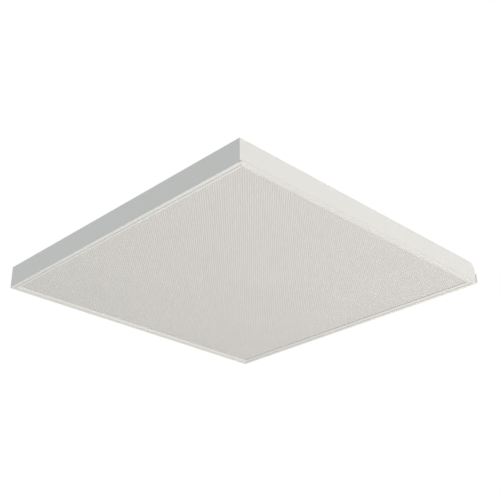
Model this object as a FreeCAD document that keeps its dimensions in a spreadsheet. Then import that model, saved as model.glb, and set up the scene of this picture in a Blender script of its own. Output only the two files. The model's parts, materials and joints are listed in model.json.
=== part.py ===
import FreeCAD, Part
import math
import os
import Sketcher
from FreeCAD import Placement, Rotation, Vector

# Recessed troffer light for a 600 mm ceiling grid, with a hinged lens door.
# Millimetres, +Z up. The origin is the centre of the underside.
# +X is the hinge side, -X the catch side, -Y the front and +Y the back.

doc = FreeCAD.newDocument("troffer_light")
sheet = doc.addObject("Spreadsheet::Sheet", "Sizes")

SIZES = {
    # housing
    "side": 595,
    "depth": 40,
    "sheet_steel": 0.8,
    "shoulder_radius": 14,
    "plate_inset": 3,
    "plate_gap": 1,
    "tab_depth": 12,
    "tab_height": 12,
    "tab_inset": 81.5,
    "tab_width": 110,
    "ear_height": 18,
    "relief": 3,
    "bead_width": 16,
    "bead_inset": 57.5,
    "bead_drop": 2.5,
    # border that rests on the grid
    "flange_width": 7,
    "flange_thick": 1,
    "flange_rise": 10,
    # holes in the top panel
    "entry_radius": 10,
    "entry_inset": 25.7,
    "hang_radius": 3.25,
    "hang_inset": 47.5,
    # lens door
    "door_gap": 1,
    "rail_height": 12,
    "rail_wall": 1.2,
    "rail_break": 0.5,
    "bevel_width": 6,
    "bevel_rise": 1.8,
    "lip_thick": 1,
    "lip_width": 1.2,
    "lens_thick": 3,
    "lens_clear": 1.6,
    "key_leg": 24,
    "key_thick": 1.2,
    "key_clear": 0.8,
    "clip_length": 14,
    "clip_thick": 0.5,
    "clip_reach": 7,
    "clip_inset": 177.5,
    # hinges
    "hinge_inset": 117.5,
    "hinge_reach": 14,
    "hinge_height": 13,
    "pin_radius": 2,
    "pin_clear": 0.05,
    "pin_head": 1,
    "pin_head_radius": 3.2,
    "eye_radius": 4,
    "leaf_width": 6,
    "leaf_thick": 3,
    "ear_radius": 4.5,
    "ear_thick": 1.5,
    "ear_clear": 0.3,
    "foot_half": 14,
    "foot_depth": 17,
    # catches
    "catch_inset": 117.5,
    "bead_radius": 1.6,
    "bead_height": 24.5,
    "throat_clear": 0.15,
    "jaw_sheet": 0.6,
    "jaw_half": 6,
    "jaw_pocket": 2.4,
    "jaw_throat": 20.5,
    "jaw_mouth": 17.5,
    "jaw_flare": 3.2,
    "jaw_foot": 5,
    # light bars
    "bar_inset": 80,
    "bar_width": 20,
    "bar_setback": 33.7,
    "bar_thick": 1.6,
    "optic_radius": 7,
    "optic_height": 5,
    "optic_inset": 35,
    "optic_count": 10,
    "plug_width": 11,
    "plug_length": 12,
    "plug_height": 4.5,
    "plug_setback": 2,
    # wireway cover
    "cover_setback": 37.7,
    "cover_clear": 6,
    "cover_height": 28,
    "cover_top_half": 38,
    "cover_low_half": 30,
    "cover_foot": 12,
    "cover_screw_setback": 20,
    "slot_width": 3,
    "slot_length": 36,
    "slot_pitch": 10,
    "slot_count": 12,
    "slot_setback": 25,
    # driver
    "driver_setback": 56,
    "driver_length": 280,
    "driver_half": 19,
    "driver_height": 22,
    "driver_lug": 12,
    "lug_thick": 1.2,
    "block_length": 14,
    "block_half": 14,
    "block_height": 13,
    # mains terminal block
    "terminal_setback": 80.7,
    "terminal_length": 22,
    "terminal_half": 13,
    "terminal_height": 13,
    "terminal_lug": 9,
    "pole_pitch": 8,
    "lever_width": 6.5,
    "lever_clear": 0.2,
    "lever_length": 15,
    "lever_thick": 2.5,
    "lever_hub": 2.4,
    "lever_rise": 2.6,
    "lever_setback": 6,
    "stub_radius": 1,
    "stub_length": 0.35,
    "port_radius": 1.6,
    "port_depth": 10,
    "port_height": 8.3,
    # cable entry
    "grommet_bore": 4.5,
    "grommet_lip": 1.5,
    "grommet_overlap": 2.5,
    "grommet_clear": 0.1,
    "clamp_setback": 48.7,
    "clamp_width": 8,
    "clamp_half": 16,
    "clamp_bridge": 7,
    "clamp_hollow": 5,
    "clamp_drop": 11,
    "clamp_thick": 2,
    # earth tag
    "earth_across": 24,
    "earth_setback": 37,
    "tag_radius": 4.5,
    "tag_thick": 0.8,
    "tag_barrel": 7,
    # fixings
    "rivet_radius": 1.2,
    "rivet_head": 2,
    "rivet_rise": 0.8,
    "screw_radius": 1.5,
    "screw_head": 2.8,
    "screw_rise": 1.8,
    "hole_clear": 0.05,
    # wires
    "wire_radius": 1,
    "wire_spread": 3,
    "port_pitch": 2.6,
}


class Size(float):
    # A length that remembers the spreadsheet expression it comes from.

    def __new__(cls, number, text):
        size = super().__new__(cls, number)
        size.text = text
        return size

    def __add__(self, other):
        return Size(float(self) + other, f"({self.text} + {text_of(other)})")

    def __radd__(self, other):
        return Size(other + float(self), f"({text_of(other)} + {self.text})")

    def __sub__(self, other):
        return Size(float(self) - other, f"({self.text} - {text_of(other)})")

    def __rsub__(self, other):
        return Size(other - float(self), f"({text_of(other)} - {self.text})")

    def __mul__(self, other):
        return Size(float(self) * other, f"({self.text} * {text_of(other)})")

    __rmul__ = __mul__

    def __truediv__(self, other):
        return Size(float(self) / other, f"({self.text} / {text_of(other)})")

    def __neg__(self):
        return self * -1


def text_of(length):
    return length.text if isinstance(length, Size) else f"({length})"


def fill_sheet():
    for row, (alias, number) in enumerate(SIZES.items(), start=1):
        sheet.set(f"A{row}", alias)
        sheet.set(f"B{row}", str(number))
        sheet.setAlias(f"B{row}", alias)
    doc.recompute()
    return {alias: Size(sheet.get(alias), f"Sizes.{alias}") for alias in SIZES}


S = fill_sheet()
pieces = []

# Shared places.

half = S["side"] / 2
roof = S["depth"] - S["sheet_steel"]            # underside of the top panel
wall_face = half - S["sheet_steel"]             # inner face of the side walls
plate_face = half - S["plate_inset"]            # outer face of the end plates
plate_back = plate_face - S["sheet_steel"]
door_half = half - S["flange_width"] - S["door_gap"]
lens_seat = S["bevel_rise"] + S["lip_thick"]
lens_half = door_half - S["rail_wall"] - S["lens_clear"]
lens_top = lens_seat + S["lens_thick"]
key_low = lens_top + S["key_clear"]             # lowest point of what stands over the lens
key_back = door_half - S["rail_wall"]           # inner face of the rails' upright wall
hinge_x = door_half - S["hinge_reach"]
hinge_z = S["hinge_height"]
catch_x = -(door_half - S["rail_wall"] - S["key_thick"] / 2)
tag_seat = roof - S["tag_thick"]
bar_seat = roof - S["bar_thick"]
rail_rivet_z = (key_low + S["rail_height"]) / 2

tab_centre = half - S["tab_inset"]
bar_pitch = (half - S["bar_inset"]) * 2 / 3      # four bars, the outer two set in from the walls
bar_end = plate_back - S["bar_setback"]
optic_run = (bar_end - S["optic_inset"]) * 2
bar_screw_y = (optic_run - optic_run / (S["optic_count"] - 1)) / 2    # midway between the last two optics

# The back end's pieces are set off from the end plate, and the front end's from the other one.
entry_y = plate_back - S["entry_inset"]
clamp_front = plate_back - S["clamp_setback"]
terminal_front = plate_back - S["terminal_setback"]
earth_back = terminal_front - S["earth_setback"]
cover_back = earth_back - S["cover_clear"]
cover_front = plate_back - S["cover_setback"]
driver_front = cover_front - S["driver_setback"]
driver_back = S["driver_length"] - driver_front
slot_start = driver_front - S["slot_setback"]

screw_hole = S["screw_radius"] + S["hole_clear"]
rivet_hole = S["rivet_radius"] + S["hole_clear"]
pin_hole = S["pin_radius"] + S["pin_clear"]


# Building blocks.

def bind(thing, prop, length):
    if isinstance(length, Size):
        thing.setExpression(prop, length.text)
    else:
        setattr(thing, prop, length)


def place(thing, x, y, z, turn=None):
    if turn:
        thing.Placement = Placement(Vector(), turn)
    for axis, length in zip("xyz", (x, y, z)):
        thing.setExpression(f"Placement.Base.{axis}", text_of(length))


def keep(thing):
    pieces.append(thing)
    return thing


def box(name, x, y, z):
    solid = doc.addObject("Part::Box", name)
    for prop, (low, high) in zip(("Length", "Width", "Height"), (x, y, z)):
        bind(solid, prop, high - low)
    place(solid, x[0], y[0], z[0])
    return solid


TURNS = {
    "+Z": None,
    "+X": Rotation(Vector(0, 1, 0), 90),
    "-X": Rotation(Vector(0, 1, 0), -90),
    "+Y": Rotation(Vector(1, 0, 0), -90),
    "-Y": Rotation(Vector(1, 0, 0), 90),
}
STEPS = {"+Z": (0, 0, 1), "+X": (1, 0, 0), "-X": (-1, 0, 0), "+Y": (0, 1, 0), "-Y": (0, -1, 0)}


def rod(name, start, way, length, radius):
    solid = doc.addObject("Part::Cylinder", name)
    bind(solid, "Radius", radius)
    bind(solid, "Height", length)
    place(solid, *start, turn=TURNS[way])
    return solid


def fuse(name, solids):
    whole = doc.addObject("Part::MultiFuse", name)
    whole.Shapes = solids
    whole.Refine = True
    return whole


def cut(name, base, tool):
    rest = doc.addObject("Part::Cut", name)
    rest.Base = base
    rest.Tool = tool
    return rest


def group(name, solids):
    whole = doc.addObject("Part::Compound", name)
    whole.Links = solids
    return whole


def origin_of(body, role):
    return next(part for part in body.Origin.OriginFeatures if part.Role == role)


def new_body(name):
    return doc.addObject("PartDesign::Body", name)


def hold(sketch, kind, geometry, point, length):
    index = sketch.addConstraint(Sketcher.Constraint(kind, -1, 1, geometry, point, float(length)))
    sketch.setExpression(f"Constraints[{index}]", text_of(length))


def draw_outline(sketch, points):
    first = sketch.GeometryCount
    count = len(points)
    for index, point in enumerate(points):
        after = points[(index + 1) % count]
        sketch.addGeometry(Part.LineSegment(Vector(*point, 0), Vector(*after, 0)))
    for index, (across, up) in enumerate(points):
        follower = first + (index + 1) % count
        sketch.addConstraint(Sketcher.Constraint("Coincident", first + index, 2, follower, 1))
        hold(sketch, "DistanceX", first + index, 1, across)
        hold(sketch, "DistanceY", first + index, 1, up)


def draw_circle(sketch, across, up, radius):
    circle = sketch.addGeometry(Part.Circle(Vector(across, up, 0), Vector(0, 0, 1), float(radius)))
    hold(sketch, "DistanceX", circle, 3, across)
    hold(sketch, "DistanceY", circle, 3, up)
    index = sketch.addConstraint(Sketcher.Constraint("Radius", circle, float(radius)))
    sketch.setExpression(f"Constraints[{index}]", text_of(radius))


def new_sketch(body, role, outlines=(), circles=(), shift=0):
    # shift moves the sketch along its plane's normal: +Z, -Y or +X
    sketch = body.newObject("Sketcher::SketchObject", body.Name + "_sketch")
    sketch.AttachmentSupport = (origin_of(body, role), "")
    sketch.MapMode = "FlatFace"
    if shift:
        sketch.setExpression("AttachmentOffset.Base.z", text_of(shift))
    for points in outlines:
        draw_outline(sketch, points)
    for circle in circles:
        draw_circle(sketch, *circle)
    return sketch


def pad(body, sketch, length, symmetric=False):
    feature = body.newObject("PartDesign::Pad", body.Name + "_pad")
    feature.Profile = sketch
    bind(feature, "Length", length)
    if symmetric:
        feature.SideType = "Symmetric"
    body.Tip = feature
    return feature


least_cut = 0.01    # mm3, well over the rounding in a volume


def pocket(body, sketch, length, symmetric=False, reverse=False):
    before = body.Tip
    feature = body.newObject("PartDesign::Pocket", body.Name + "_pocket")
    feature.Profile = sketch
    bind(feature, "Length", length)
    if symmetric:
        feature.SideType = "Symmetric"
    feature.Reversed = reverse
    body.Tip = feature
    doc.recompute()
    if before.Shape.Volume - feature.Shape.Volume < least_cut:
        raise RuntimeError(f"{body.Label}: a pocket cuts nothing")
    return feature


def round_edge(body, x, z, radius):
    # Rounds the edge that runs along Y through the point x, z.
    doc.recompute()
    base = body.Tip
    names = []
    for index, edge in enumerate(base.Shape.Edges, start=1):
        ends = [vertex.Point for vertex in edge.Vertexes]
        if all(abs(end.x - x) < 0.01 and abs(end.z - z) < 0.01 for end in ends):
            names.append(f"Edge{index}")
    fillet = body.newObject("PartDesign::Fillet", body.Name + "_fillet")
    fillet.Base = (base, names)
    bind(fillet, "Radius", radius)
    body.Tip = fillet


def four_corners(body, feature):
    # Repeats a feature at both ends of each of the four sides.
    pattern = body.newObject("PartDesign::MultiTransform", body.Name + "_pattern")
    pattern.Originals = [feature]
    mirror = body.newObject("PartDesign::Mirrored", body.Name + "_mirror")
    mirror.MirrorPlane = (origin_of(body, "YZ_Plane"), [""])
    polar = body.newObject("PartDesign::PolarPattern", body.Name + "_polar")
    polar.Axis = (origin_of(body, "Z_Axis"), [""])
    polar.Angle = 360
    polar.Occurrences = 4
    pattern.Transformations = [mirror, polar]
    body.Tip = pattern


def row_of(body, feature, axis, length, count, back=False):
    pattern = body.newObject("PartDesign::LinearPattern", body.Name + "_row")
    pattern.Originals = [feature]
    pattern.Direction = (origin_of(body, axis), [""])
    pattern.Reversed = back
    bind(pattern, "Length", length)
    pattern.setExpression("Occurrences", text_of(count))
    body.Tip = pattern


def rectangle(x, y):
    return [(x[0], y[0]), (x[1], y[0]), (x[1], y[1]), (x[0], y[1])]


def square(half_x, half_y):
    return rectangle((-half_x, half_x), (-half_y, half_y))


def fastener(name, seat, way, grip, radius, head_radius, head_height):
    # The head sits on the seat, and the shank goes on from there for its grip.
    step = STEPS[way]
    back = [at - head_height * move for at, move in zip(seat, step)]
    head = rod(name + "_head", back, way, head_height, head_radius)
    shank = rod(name + "_shank", seat, way, grip, radius)
    return fuse(name, [head, shank])


def rivets(name, seats):
    # seats holds a point, a direction and a grip for each rivet
    solids = [
        fastener(f"{name}_{index}", seat, way, grip, S["rivet_radius"], S["rivet_head"], S["rivet_rise"])
        for index, (seat, way, grip) in enumerate(seats, start=1)
    ]
    return keep(group(name, solids))


def screws(name, places, seat):
    # Screws driven up into the top panel, where their ends are flush.
    solids = [
        fastener(f"{name}_{index}", (x, y, seat), "+Z", S["depth"] - seat,
                 S["screw_radius"], S["screw_head"], S["screw_rise"])
        for index, (x, y) in enumerate(places, start=1)
    ]
    return keep(group(name, solids))


def screw_circles(places):
    return [(x, y, screw_hole) for x, y in places]


def rivet_circles(places):
    return [(x, y, rivet_hole) for x, y in places]


# Fixing places.

tab_xs = (-tab_centre, 0, tab_centre)
tab_y = plate_back - S["tab_depth"] / 2
plate_points = [(x, y) for y in (-tab_y, tab_y) for x in tab_xs]

bar_xs = [bar_pitch * step for step in (-1.5, -0.5, 0.5, 1.5)]
bar_ys = (-bar_screw_y, 0, bar_screw_y)
bar_points = [(x, y) for x in bar_xs for y in bar_ys]

cover_foot_x = S["cover_top_half"] + S["cover_foot"] / 2
cover_ys = (-cover_front + S["cover_screw_setback"], cover_back - S["cover_screw_setback"])
cover_points = [(x, y) for y in cover_ys for x in (-cover_foot_x, cover_foot_x)]

lug_mid = S["driver_lug"] / 2
driver_points = [(0, -driver_front - lug_mid), (0, driver_back + lug_mid)]

clamp_screw_x = (S["clamp_bridge"] + S["clamp_half"]) / 2
clamp_mid = clamp_front + S["clamp_width"] / 2
clamp_points = [(-clamp_screw_x, clamp_mid), (clamp_screw_x, clamp_mid)]

terminal_back = terminal_front + S["terminal_length"]
terminal_points = [(0, terminal_back + S["terminal_lug"] / 2)]
earth_points = [(S["earth_across"], earth_back)]

hinge_ys = (S["hinge_inset"] - half, half - S["hinge_inset"])
catch_ys = (S["catch_inset"] - half, half - S["catch_inset"])
foot_spread = S["foot_half"] - S["screw_head"] - S["ear_thick"]
hinge_foot_x = hinge_x - S["foot_depth"] / 2
hinge_rivet_ys = [y + side * foot_spread for y in hinge_ys for side in (-1, 1)]
catch_rivet_ys = [y + side * foot_spread for y in catch_ys for side in (-1, 1)]
hinge_points = [(hinge_foot_x, y) for y in hinge_rivet_ys]
catch_points = [(catch_x, y) for y in catch_rivet_ys]


# Housing.

def make_pan():
    # Top panel and the two side walls, folded from one sheet, with a rolled shoulder at the hinge side.
    body = new_body("housing_pan")
    outline = [(-half, 0), (-half, S["depth"]), (half, S["depth"]), (half, 0),
               (wall_face, 0), (wall_face, roof), (-wall_face, roof), (-wall_face, 0)]
    pad(body, new_sketch(body, "XZ_Plane", [outline]), plate_face * 2, symmetric=True)
    round_edge(body, half, S["depth"], S["shoulder_radius"])
    round_edge(body, wall_face, roof, S["shoulder_radius"] - S["sheet_steel"])

    bead_half = S["bead_width"] / 2
    bead_end = half - S["bead_inset"]
    troughs = []
    grooves = []
    for x in (-bar_pitch, bar_pitch):
        troughs.append(rectangle((x - bead_half, x + bead_half), (-bead_end, bead_end)))
        inner = bead_half - S["sheet_steel"]
        inner_end = bead_end - S["sheet_steel"]
        grooves.append(rectangle((x - inner, x + inner), (-inner_end, inner_end)))
    pad(body, new_sketch(body, "XY_Plane", troughs, shift=roof - S["bead_drop"]), S["bead_drop"])
    pocket(body, new_sketch(body, "XY_Plane", grooves, shift=S["depth"]), S["bead_drop"])

    ears = [rectangle((wall_face, half), (plate_face, half)),
            rectangle((wall_face, half), (-half, -plate_face))]
    pad(body, new_sketch(body, "XY_Plane", ears), S["ear_height"])
    reliefs = [rectangle((-plate_face, -plate_face + S["relief"]), (0, S["relief"])),
               rectangle((plate_face - S["relief"], plate_face), (0, S["relief"]))]
    pocket(body, new_sketch(body, "YZ_Plane", reliefs, shift=-half), S["sheet_steel"], reverse=True)

    hang = half - S["hang_inset"]
    round_holes = [(x, y, S["hang_radius"]) for x in (-hang, hang) for y in (-hang, hang)]
    round_holes.append((0, entry_y, S["entry_radius"]))
    round_holes += rivet_circles(plate_points + hinge_points + catch_points)
    round_holes += screw_circles(bar_points + cover_points + driver_points)
    round_holes += screw_circles(clamp_points + terminal_points + earth_points)
    holes = new_sketch(body, "XY_Plane", circles=round_holes, shift=S["depth"])
    pocket(body, holes, S["sheet_steel"])
    keep(body)


def make_flange():
    # Border that rests on the grid, with a rise that backs the walls and end plates.
    body = new_body("ceiling_flange")
    opening = half - S["flange_width"]
    border = new_sketch(body, "XY_Plane", [square(wall_face, half), square(opening, opening)])
    pad(body, border, S["flange_thick"])
    inner_x = wall_face - S["sheet_steel"]
    inner_y = plate_back - S["sheet_steel"]
    rise = new_sketch(body, "XY_Plane", [square(wall_face, plate_back), square(inner_x, inner_y)])
    pad(body, rise, S["flange_rise"])
    keep(body)


def make_end_plate(name, side):
    # side is -1 at the front and +1 at the back
    body = new_body(name)
    low = S["flange_thick"] + S["plate_gap"]
    plate = new_sketch(body, "XZ_Plane", [rectangle((-wall_face, wall_face), (low, roof))],
                       shift=-plate_face if side > 0 else plate_back)
    pad(body, plate, S["sheet_steel"])
    round_edge(body, wall_face, roof, S["shoulder_radius"] - S["sheet_steel"])
    reach = sorted((side * plate_back, side * (plate_back - S["tab_depth"])), key=float)
    tab_half = S["tab_width"] / 2
    tops = [rectangle((x - tab_half, x + tab_half), reach) for x in tab_xs]
    top_tabs = new_sketch(body, "XY_Plane", tops, rivet_circles([(x, side * tab_y) for x in tab_xs]),
                          shift=roof - S["sheet_steel"])
    pad(body, top_tabs, S["sheet_steel"])
    wall_back = wall_face - S["sheet_steel"]
    sides = [rectangle((-wall_face, -wall_back), reach), rectangle((wall_back, wall_face), reach)]
    pad(body, new_sketch(body, "XY_Plane", sides, shift=S["flange_rise"] + S["plate_gap"]), S["tab_height"])
    keep(body)


def make_plate_rivets():
    seat = roof - S["sheet_steel"]
    rivets("plate_rivets", [((x, y, seat), "+Z", S["depth"] - seat) for x, y in plate_points])


# Light bars.

def make_bar(number, x):
    body = new_body(f"led_bar_{number}")
    bar_half = S["bar_width"] / 2
    end = bar_end
    board = new_sketch(body, "XY_Plane", [rectangle((x - bar_half, x + bar_half), (-end, end))],
                       screw_circles([(x, y) for y in bar_ys]), shift=bar_seat)
    pad(body, board, S["bar_thick"])
    keep(body)


def make_optics(number, x):
    # A row of clear domes, one over each diode.
    body = new_body(f"bar_optics_{number}")
    dome = body.newObject("PartDesign::AdditiveEllipsoid", body.Name + "_dome")
    dome.AttachmentSupport = (origin_of(body, "XY_Plane"), "")
    dome.MapMode = "FlatFace"
    for axis, at in zip("xyz", (x, -optic_run / 2, bar_seat)):
        dome.setExpression(f"AttachmentOffset.Base.{axis}", text_of(at))
    bind(dome, "Radius1", S["optic_height"])
    bind(dome, "Radius2", S["optic_radius"])
    bind(dome, "Radius3", S["optic_radius"])
    dome.Angle1 = -90
    dome.Angle2 = 0
    row_of(body, dome, "Y_Axis", optic_run, S["optic_count"])
    keep(body)


def make_bar_plugs():
    front = -bar_end + S["plug_setback"]
    wide = S["plug_width"] / 2
    solids = [
        box(f"bar_plug_{index}", (x - wide, x + wide), (front, front + S["plug_length"]),
            (bar_seat - S["plug_height"], bar_seat))
        for index, x in enumerate(bar_xs, start=1)
    ]
    keep(group("bar_plugs", solids))


# Wireway and driver.

def make_cover():
    # Folded channel over the driver, with cooling slots.
    body = new_body("wireway_cover")
    steel = S["sheet_steel"]
    low = S["depth"] - S["cover_height"]
    top = S["cover_top_half"]
    bottom = S["cover_low_half"]
    foot = top + S["cover_foot"]
    outline = [(-foot, roof), (-foot, roof - steel), (-top, roof - steel), (-bottom, low), (bottom, low),
               (top, roof - steel), (foot, roof - steel), (foot, roof), (top - steel, roof),
               (bottom - steel, low + steel), (steel - bottom, low + steel), (steel - top, roof)]
    channel = new_sketch(body, "XZ_Plane", [outline], shift=-cover_back)
    pad(body, channel, cover_front + cover_back)
    holes = new_sketch(body, "XY_Plane", circles=screw_circles(cover_points), shift=roof)
    pocket(body, holes, steel)
    slot_half = S["slot_length"] / 2
    start = -slot_start
    slot_run = (start, start + S["slot_width"])
    slot = new_sketch(body, "XY_Plane", [rectangle((-slot_half, slot_half), slot_run)], shift=low)
    cooling = pocket(body, slot, steel, reverse=True)
    row_of(body, cooling, "Y_Axis", S["slot_pitch"] * (S["slot_count"] - 1), S["slot_count"])
    keep(body)


def make_driver():
    body = new_body("driver_case")
    wide = S["driver_half"]
    front = -driver_front
    back = driver_back
    case = new_sketch(body, "XY_Plane", [rectangle((-wide, wide), (front, back))],
                      shift=roof - S["driver_height"])
    pad(body, case, S["driver_height"])
    lugs = new_sketch(body, "XY_Plane",
                      [rectangle((-wide / 2, wide / 2), (front - S["driver_lug"], front)),
                       rectangle((-wide / 2, wide / 2), (back, back + S["driver_lug"]))],
                      screw_circles(driver_points), shift=roof - S["lug_thick"])
    pad(body, lugs, S["lug_thick"])
    block = S["block_half"]
    ends = [rectangle((-block, block), (front, front + S["block_length"])),
            rectangle((-block, block), (back - S["block_length"], back))]
    recess = new_sketch(body, "XY_Plane", ends, shift=roof - S["driver_height"])
    pocket(body, recess, S["block_height"], reverse=True)
    keep(body)
    low = roof - S["driver_height"]
    high = low + S["block_height"]
    keep(box("driver_output_block", (-block, block), (front, front + S["block_length"]), (low, high)))
    keep(box("driver_input_block", (-block, block), (back - S["block_length"], back), (low, high)))


# Mains terminals.

lever_y = terminal_back - S["lever_setback"]
terminal_low = roof - S["terminal_height"]
lever_z = terminal_low + S["lever_rise"]
pole_xs = (-S["pole_pitch"], 0, S["pole_pitch"])


def make_terminal_block():
    body = new_body("terminal_block")
    wide = S["terminal_half"]
    front = terminal_front
    base = new_sketch(body, "XY_Plane", [rectangle((-wide, wide), (front, terminal_back))],
                      shift=terminal_low)
    pad(body, base, S["terminal_height"])
    lug = S["terminal_lug"]
    foot = new_sketch(body, "XY_Plane",
                      [rectangle((-lug / 2, lug / 2), (terminal_back, terminal_back + lug))],
                      screw_circles(terminal_points), shift=roof - S["lug_thick"])
    pad(body, foot, S["lug_thick"])
    slot_half = S["lever_width"] / 2 + S["lever_clear"]
    slot_back = lever_y + S["lever_hub"] + S["lever_clear"] * 2
    slots = [rectangle((x - slot_half, x + slot_half), (front, slot_back)) for x in pole_xs]
    slot_depth = S["lever_rise"] + S["lever_hub"] + S["lever_clear"] * 2
    pocket(body, new_sketch(body, "XY_Plane", slots, shift=terminal_low), slot_depth, reverse=True)
    bore = new_sketch(body, "YZ_Plane", circles=[(lever_y, lever_z, S["stub_radius"] + S["pin_clear"])])
    pocket(body, bore, S["pole_pitch"] * 2 + S["lever_width"] + S["stub_length"] * 2 + S["pin_clear"] * 2,
           symmetric=True)
    # one port for each supply core, in the back face above the levers
    port_z = terminal_low + S["port_height"]
    ports = new_sketch(body, "XZ_Plane", circles=[(x, port_z, S["port_radius"]) for x in pole_xs],
                       shift=-terminal_back)
    pocket(body, ports, S["port_depth"], reverse=True)
    keep(body)


def make_lever(number, x):
    # A lever with a thumb tip. Its two stubs turn in the block's walls.
    body = new_body(f"terminal_lever_{number}")
    low = terminal_low + S["lever_clear"]
    thick = S["lever_thick"]
    tip = lever_y - S["lever_length"]
    arm = [(lever_y, low), (lever_y, low + thick), (tip + thick, low + thick),
           (tip, low + thick / 2), (tip, low)]
    pad(body, new_sketch(body, "YZ_Plane", [arm], shift=x), S["lever_width"], symmetric=True)
    hub = new_sketch(body, "YZ_Plane", circles=[(lever_y, lever_z, S["lever_hub"])], shift=x)
    pad(body, hub, S["lever_width"], symmetric=True)
    stub = new_sketch(body, "YZ_Plane", circles=[(lever_y, lever_z, S["stub_radius"])], shift=x)
    pad(body, stub, S["lever_width"] + S["stub_length"] * 2, symmetric=True)
    keep(body)


# Cable entry and earth.

def make_grommet():
    body = new_body("cable_grommet")
    bore = S["grommet_bore"]
    neck = S["entry_radius"] - S["grommet_clear"]
    lip = S["entry_radius"] + S["grommet_overlap"]
    under = roof - S["grommet_lip"]
    over = S["depth"] + S["grommet_lip"]
    outline = [(bore, under), (lip, under), (lip, roof), (neck, roof), (neck, S["depth"]),
               (lip, S["depth"]), (lip, over), (bore, over)]
    profile = new_sketch(body, "XZ_Plane", [outline])
    turned = body.newObject("PartDesign::Revolution", "cable_grommet_turned")
    turned.Profile = profile
    turned.ReferenceAxis = (profile, ["V_Axis"])
    turned.Angle = 360
    body.Tip = turned
    place(body, 0, entry_y, 0)
    keep(body)


def make_clamp():
    body = new_body("cord_clamp")
    thick = S["clamp_thick"]
    wide = S["clamp_half"]
    bridge = S["clamp_bridge"]
    hollow = S["clamp_hollow"]
    low = roof - S["clamp_drop"]
    outline = [(-wide, roof), (-wide, roof - thick), (-bridge, roof - thick), (-bridge, low), (bridge, low),
               (bridge, roof - thick), (wide, roof - thick), (wide, roof), (hollow, roof),
               (hollow, low + thick), (-hollow, low + thick), (-hollow, roof)]
    saddle = new_sketch(body, "XZ_Plane", [outline], shift=-(clamp_front + S["clamp_width"]))
    pad(body, saddle, S["clamp_width"])
    holes = new_sketch(body, "XY_Plane", circles=screw_circles(clamp_points), shift=roof)
    pocket(body, holes, thick)
    keep(body)


def make_earth_tag():
    body = new_body("earth_tag")
    x = S["earth_across"]
    y = earth_back
    eye = new_sketch(body, "XY_Plane", circles=[(x, y, S["tag_radius"])] + screw_circles(earth_points),
                     shift=tag_seat)
    pad(body, eye, S["tag_thick"])
    barrel_half = S["wire_radius"] + S["tag_thick"]
    barrel_start = y + S["tag_radius"] - S["tag_thick"]
    barrel_run = (barrel_start, barrel_start + S["tag_barrel"])
    barrel = new_sketch(body, "XY_Plane", [rectangle((x - barrel_half, x + barrel_half), barrel_run)],
                        shift=roof - barrel_half * 2)
    pad(body, barrel, barrel_half * 2)
    keep(body)


# Wires.

arc_share = 0.45    # how much of the shorter run an arc takes up


def tube(points, radius):
    # Straight runs joined by tangent arcs, each as large as its two runs allow.
    edges = []
    radii = []
    start = points[0]
    for before, corner, after in zip(points, points[1:], points[2:]):
        run_in = corner - before
        run_out = after - corner
        trim = arc_share * min(run_in.Length, run_out.Length)
        half_turn = run_in.getAngle(run_out) / 2
        bend = trim / math.tan(half_turn)
        run_in.normalize()
        run_out.normalize()
        inward = (run_out - run_in).normalize()
        arc_start = corner - run_in * trim
        arc_end = corner + run_out * trim
        arc_mid = corner + inward * (bend / math.cos(half_turn) - bend)
        edges.append(Part.LineSegment(start, arc_start).toShape())
        edges.append(Part.Arc(arc_start, arc_mid, arc_end).toShape())
        radii.append(bend)
        start = arc_end
    edges.append(Part.LineSegment(start, points[-1]).toShape())
    path = Part.Wire(edges)
    ring = Part.Wire([Part.makeCircle(radius, points[0], points[1] - points[0])])
    return path.makePipeShell([ring], True, False), path.Length, radii


def make_wires(name, routes):
    solids = []
    radius = float(S["wire_radius"])
    for route in routes:
        points = [Vector(*(float(at) for at in point)) for point in route]
        solid, length, radii = tube(points, radius)
        solids.append(solid)
        share = solid.Volume / (math.pi * radius ** 2 * length)
        print(f"{name}: {length:.0f} mm, volume {share:.3f} of the tube's, bends",
              " ".join(f"{bend:.0f}" for bend in radii))
    thing = doc.addObject("Part::Feature", name)
    thing.Shape = solids[0] if len(solids) == 1 else Part.makeCompound(solids)
    thing.Placement = Placement()
    keep(thing)


def mains_route(x):
    # From a pole of the terminal block to the driver's input block, with a little slack on the way.
    port_z = roof - S["terminal_height"] / 2
    entry_z = roof - S["driver_height"] + S["block_height"] / 2
    start = terminal_front
    end = driver_back
    return [(x, start, port_z), (x, start - 14, port_z), (x * 1.3 + 1, start - 45, port_z - 3),
            (x * 0.9 - 1, end + 45, entry_z + 1), (x * 0.8, end + 16, entry_z), (x * 0.8, end, entry_z)]


def earth_route():
    # From the third pole to the barrel of the earth tag, which lies closer to the top panel.
    x = S["pole_pitch"]
    start = terminal_front
    port_z = roof - S["terminal_height"] / 2
    tag_x = S["earth_across"]
    tag_y = earth_back + S["tag_radius"] - S["tag_thick"] + S["tag_barrel"]
    tag_z = roof - S["wire_radius"] - S["tag_thick"]
    return [(x, start, port_z), (x, start - 7, port_z), (x + 4, start - 13, port_z + 2),
            (tag_x - 4, tag_y + 11.5, tag_z - 1), (tag_x, tag_y + 6, tag_z), (tag_x, tag_y, tag_z)]


plug_front = -bar_end + S["plug_setback"]
plug_z = bar_seat - S["plug_height"] / 2


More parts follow.
